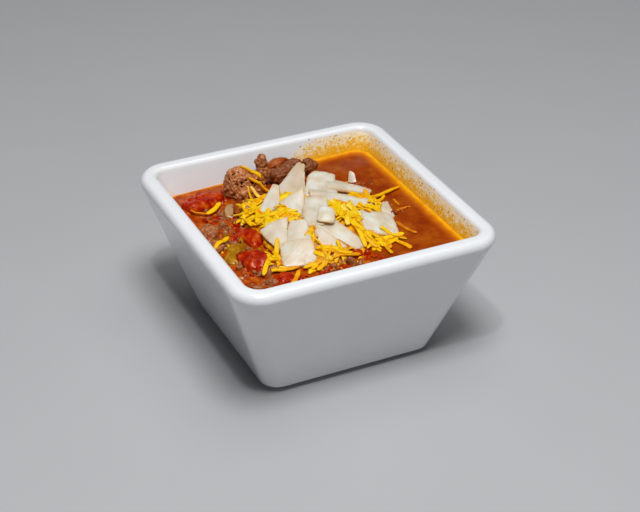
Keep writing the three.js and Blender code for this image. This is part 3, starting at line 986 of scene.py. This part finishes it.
def surface_tree(nodes):
    points, triangles = join([node_mesh(node) for node in nodes])
    return BVHTree.FromPolygons(points.tolist(), triangles.tolist())


def middle_of(node, shares=(0, 0)):
    """The middle of a node's box in plan, moved by shares of half the box."""
    low, high = (np.array(corner[:2]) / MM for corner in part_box(node))
    return (low + high) / 2 + np.array(shares) * (high - low) / 2


def draped(path, heights, lift):
    """A path laid over the heights below it, kept taut so that it bridges hollows."""
    level = np.array(heights) + lift
    lowest = np.array(heights)[1:-1] + 0.1
    for _ in range(6):
        level[1:-1] = np.maximum(level[1:-1] * 0.4 + (level[:-2] + level[2:]) * 0.3, lowest)
    path[:, 2] = level
    return path


def laid_shreds(ground):
    """The single shreds, each draped over whatever lies below it."""
    found = []
    laid = [(node, *row) for node, rows in LAID_SHREDS.items() for row in rows]
    for node, share_x, share_y, heading, length, bow, width, tone in laid:
        path = arc_path(middle_of(node, (share_x, share_y)), math.radians(heading), length, bow)
        heights = [ground_under(ground, x, y) for x, y, _ in path]
        if None in heights:
            continue
        path = draped(path, heights, width * 0.3)
        path += np.stack([noise(path, 3, 60 + axis) for axis in range(3)], axis=1) * 0.25
        found.append((path, width, width * 0.5, tone))
    return found


def loose_shreds(ground, cover, draw):
    """Shreds scattered over the beds, each draped over what lies below, few points of it under the onion."""
    found = []
    for node, offset, reach, main_heading, count, mean_tone in SHRED_BEDS:
        placed, tries = 0, 0
        while placed < count and tries < count * 12:
            tries += 1
            place = place_in_oval(middle_of(node) + offset, reach, draw)
            length = draw.uniform(4, 12)
            heading = math.radians(main_heading) + draw.normal(0, 0.7)
            path = arc_path(place, heading, length, draw.uniform(-1.0, 1.0))
            heights = [ground_under(ground, x, y) for x, y, _ in path]
            covered = sum((height_under(cover, x, y) or 0) > 0 for x, y, _ in path)
            if None in heights or covered > MOST_COVERED:
                continue
            path = draped(path, heights, draw.uniform(0.0, 1.2))
            width = draw.uniform(1.2, 2.3)
            tone = float(np.clip(draw.normal(mean_tone, 0.14), 0.1, 1))
            found.append((path, width, width * draw.uniform(0.4, 0.62), tone))
            placed += 1
    return found


def make_cheese(material, core_material):
    draw = np.random.default_rng(11)
    points, faces = remesh(*node_mesh("cheese_heap"), 0.5, 2)
    points = roughened(points, faces, (3, 0.4), (1.2, 0.15), seed=4)
    points[:, 2] -= 0.7
    make_piece("cheese_core", points, faces, core_material, "cheese", ["cheese_heap"])
    onions = [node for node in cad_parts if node.startswith("onion_")]
    others = [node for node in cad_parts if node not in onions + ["bowl"]]
    strips = loose_shreds(surface_tree(others), surface_tree(onions), draw)
    strips += laid_shreds(surface_tree(others + onions))
    parts = [shred(path, width, thick, draw) for path, width, thick, _ in strips]
    tones = np.concatenate([np.full(len(part[0]), strip[3]) for part, strip in zip(parts, strips)])
    points, faces = join(parts)
    make_piece("cheese_shreds", points, trimmed(faces), material, "cheese", tone=tones)


# ---- Small pieces in the broth ----

# Beds of small pieces in the broth: the CAD node they lie by, from its middle in plan, the reach
# along X and Y, and how many lie there.
CRUMB_BEDS = [
    ("beef_left", (7, -4), (11, 10), 90), ("bean_left", (-8, 1), (8, 6), 34),
    ("tomato_right", (-8, -8), (12, 6), 40), ("tomato_corner", (-6, 4), (8, 8), 30),
    ("beef_low", (-2, -9), (6, 9), 26), ("pepper_green", (4, -8), (7, 12), 40),
]
TOMATO_BEDS = [
    ("beef_left", (7, 2), (10, 14), 56), ("tomato_corner", (10, -6), (18, 6), 44),
    ("tomato_back", (6, 3), (12, 6), 14), ("tomato_right", (2, -8), (10, 6), 20),
    ("tomato_front", (0, 0), (9, 12), 26),
]
SUNK_BEDS = [("onion_upright", (1, -6), (7, 4), 16), ("onion_behind_square", (7, 3), (5, 6), 16)]
PEPPER_BEDS = [("pepper_green", (4, 2), (8, 10), 24), ("beef_small", (5, 3), (6, 7), 12)]
CHEESE_BEDS = [
    ("tomato_front", (6, -2), (8, 12), 40), ("tomato_right", (-8, -3), (14, 5), 36),
    ("pepper_green", (0, 0), (8, 9), 20), ("onion_square", (-2, -9), (7, 3), 12),
]
ONION_BEDS = [("beef_left", (5, -8), (9, 14), 24), ("tomato_corner", (-8, 5), (8, 10), 14)]


def make_specks(material):
    """Dried specks on the right and back wall, between the broth and the top of the film."""
    draw = np.random.default_rng(36)
    ball_points, ball_faces = ball(2)
    parts = []
    for number in range(90):
        along = draw.uniform(-46, 46)
        on_right = number % 3 > 0
        along = along if on_right else draw.uniform(14, 46)
        across = inner_half(LEVEL)
        low = broth_height(across, along) if on_right else broth_height(along, across)
        z = draw.uniform(low + 1.5, FILM_TOP)
        wall = inner_half(z)
        size = draw.uniform(0.1, 0.3)
        place = [wall, along, z] if on_right else [along, wall, z]
        parts.append((ball_points * size * draw.uniform(0.7, 1.4, 3) + place, ball_faces))
    points, faces = join(parts)
    # the specks' own dark tone, set through the beef material's mix for painted shade in crevices
    make_piece("wall_specks", points, faces, material, "beef", hollow=np.full(len(points), 0.7))


def make_bits(name, material, slot, beds, radii, sink, seed):
    """Small uneven pieces half sunk in the broth."""
    draw = np.random.default_rng(seed)
    ball_points, ball_faces = ball(2)
    parts = []
    for node, offset, reach, count in beds:
        for _ in range(count):
            place = place_in_oval(middle_of(node) + offset, reach, draw)
            size = draw.uniform(*radii)
            limit = inner_half(LEVEL) - size
            x, y = np.clip(place, -limit, limit)
            shape = ball_points * (1 + 0.5 * noise(ball_points, 0.75, int(draw.integers(1000))))[:, None]
            shape = shape * size * draw.uniform([0.8, 0.5, 0.35], [1.7, 1.1, 0.8]) @ random_turn(draw).T
            place = np.array([x, y, broth_height(x, y) + size * draw.uniform(-sink, 0.35)])
            parts.append((shape + place, ball_faces))
    points, faces = join(parts)
    zero = np.zeros(len(points))
    make_piece(
        name, points, faces, material, slot,
        hollow=zero, dark=zero + 0.5, soaked=zero + 0.55, across=zero, edge=zero, tone=zero + 0.45,
    )


# ---- Assembly ----

glaze = make_glaze()
broth_material = make_broth_material()
cheese_material = make_cheese_material()
core_material = make_core_material()
onion_material = make_onion_material()
meat_material = make_meat_material()
tomato_material = make_wet_material("tomato", (130, 14, 0), (168, 32, 0), (196, 84, 4), 2.2, 0.17, 3)
bean_material = make_wet_material("bean", (104, 32, 4), (148, 66, 16), (184, 104, 40), 3, 0.18, 5)
pepper_material = make_wet_material("pepper", (122, 76, 2), (158, 106, 8), (196, 148, 36), 3, 0.2, 8)

make_bowl(glaze)
make_broth(broth_material)
for number, node in enumerate(sorted(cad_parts)):
    kind = node.split("_")[0]
    if kind == "onion":
        make_onion(node, onion_material, 100 + number)
    if kind == "beef":
        make_meat(node, meat_material, 200 + number)
    if kind == "tomato":
        layers = [(5, 1.5), (2.2, 0.5), (0.8, 0.1)]
        refine(node, "wet_" + node, tomato_material, "tomato", 0.32, 2, layers, number, sink=0.6)
    if kind == "bean":
        refine(node, "wet_" + node, bean_material, "bean", 0.3, 6, [(3, 0.12), (0.8, 0.03)], number)
    if kind == "pepper":
        refine(node, "wet_" + node, pepper_material, "pepper", 0.3, 4, [(4, 0.3), (1.2, 0.12)], number)
make_cheese(cheese_material, core_material)
make_bits("mince_crumbs", meat_material, "beef", CRUMB_BEDS, (0.6, 1.9), 0.5, 31)
make_bits("sunk_crumbs", bean_material, "bean", SUNK_BEDS, (0.5, 1.6), 0.4, 37)
make_bits("tomato_bits", tomato_material, "tomato", TOMATO_BEDS, (0.6, 2.2), 0.7, 32)
make_bits("pepper_bits", pepper_material, "pepper", PEPPER_BEDS, (0.5, 1.6), 0.6, 34)
make_bits("cheese_bits", cheese_material, "cheese", CHEESE_BEDS, (0.4, 1.1), 0.6, 35)
make_bits("onion_bits", onion_material, "onion", ONION_BEDS, (0.3, 1.0), 0.9, 33)
make_specks(meat_material)


# ---- Floor, lights and camera ----

FLOOR_REACH = 3  # metres
LIGHT_TARGET = (0, 0, 0.05)
WORLD_STRENGTH = 0.13
CAMERA_PLACE = (-0.2655, -0.5309, 0.4054)
CAMERA_TARGET = (0.0004, -0.0062, 0.04)
CAMERA_ROLL = 1.17  # degrees
CAMERA_LENS = 90.5


def make_floor():
    mesh = bpy.data.meshes.new("floor")
    turns = ((-1, -1), (1, -1), (1, 1), (-1, 1))
    mesh.from_pydata([(x * FLOOR_REACH, y * FLOOR_REACH, 0) for x, y in turns], [], [range(4)])
    material, tree = start_material("floor", Roughness=0.8, Specular_IOR_Level=0.2)
    color = mix(tree, grain(tree, 60, detail=2), paint(176, 177, 179), paint(180, 181, 183))
    tree.links.new(color, tree.nodes["Principled BSDF"].inputs["Base Color"])
    mesh.materials.append(material)
    floor = bpy.data.objects.new("floor", mesh)
    bpy.context.scene.collection.objects.link(floor)


def aim(thing, target):
    """Turns a light or the camera, which look along -Z, to a point."""
    thing.rotation_euler = (Vector(target) - thing.location).to_track_quat("-Z", "Y").to_euler()


def make_light(name, place, size, power):
    data = bpy.data.lights.new(name, "AREA")
    data.shape = "DISK"
    data.size = size
    data.energy = power
    light = bpy.data.objects.new(name, data)
    light.location = place
    bpy.context.scene.collection.objects.link(light)
    aim(light, LIGHT_TARGET)


def make_camera():
    data = bpy.data.cameras.new("camera")
    data.lens = CAMERA_LENS
    data.sensor_width = 36
    camera = bpy.data.objects.new("camera", data)
    camera.location = CAMERA_PLACE
    bpy.context.scene.collection.objects.link(camera)
    aim(camera, CAMERA_TARGET)
    roll = math.radians(CAMERA_ROLL)
    camera.rotation_euler = (camera.rotation_euler.to_matrix() @ Matrix.Rotation(roll, 3, "Z")).to_euler()
    bpy.context.scene.camera = camera


def make_world():
    world = bpy.data.worlds.new("studio")
    world.use_nodes = True
    background = world.node_tree.nodes["Background"]
    background.inputs["Color"].default_value = paint(232, 233, 236)
    background.inputs["Strength"].default_value = WORLD_STRENGTH
    bpy.context.scene.world = world


make_floor()
make_light("key", (-0.13, -0.34, 1.0), 0.38, 7.4)
make_light("top", (0.15, 0.0, 1.2), 0.9, 3.2)
make_light("glint", (-0.25, -0.35, 0.9), 0.04, 1.3)
make_world()
make_camera()
bpy.context.scene.view_settings.view_transform = "Standard"
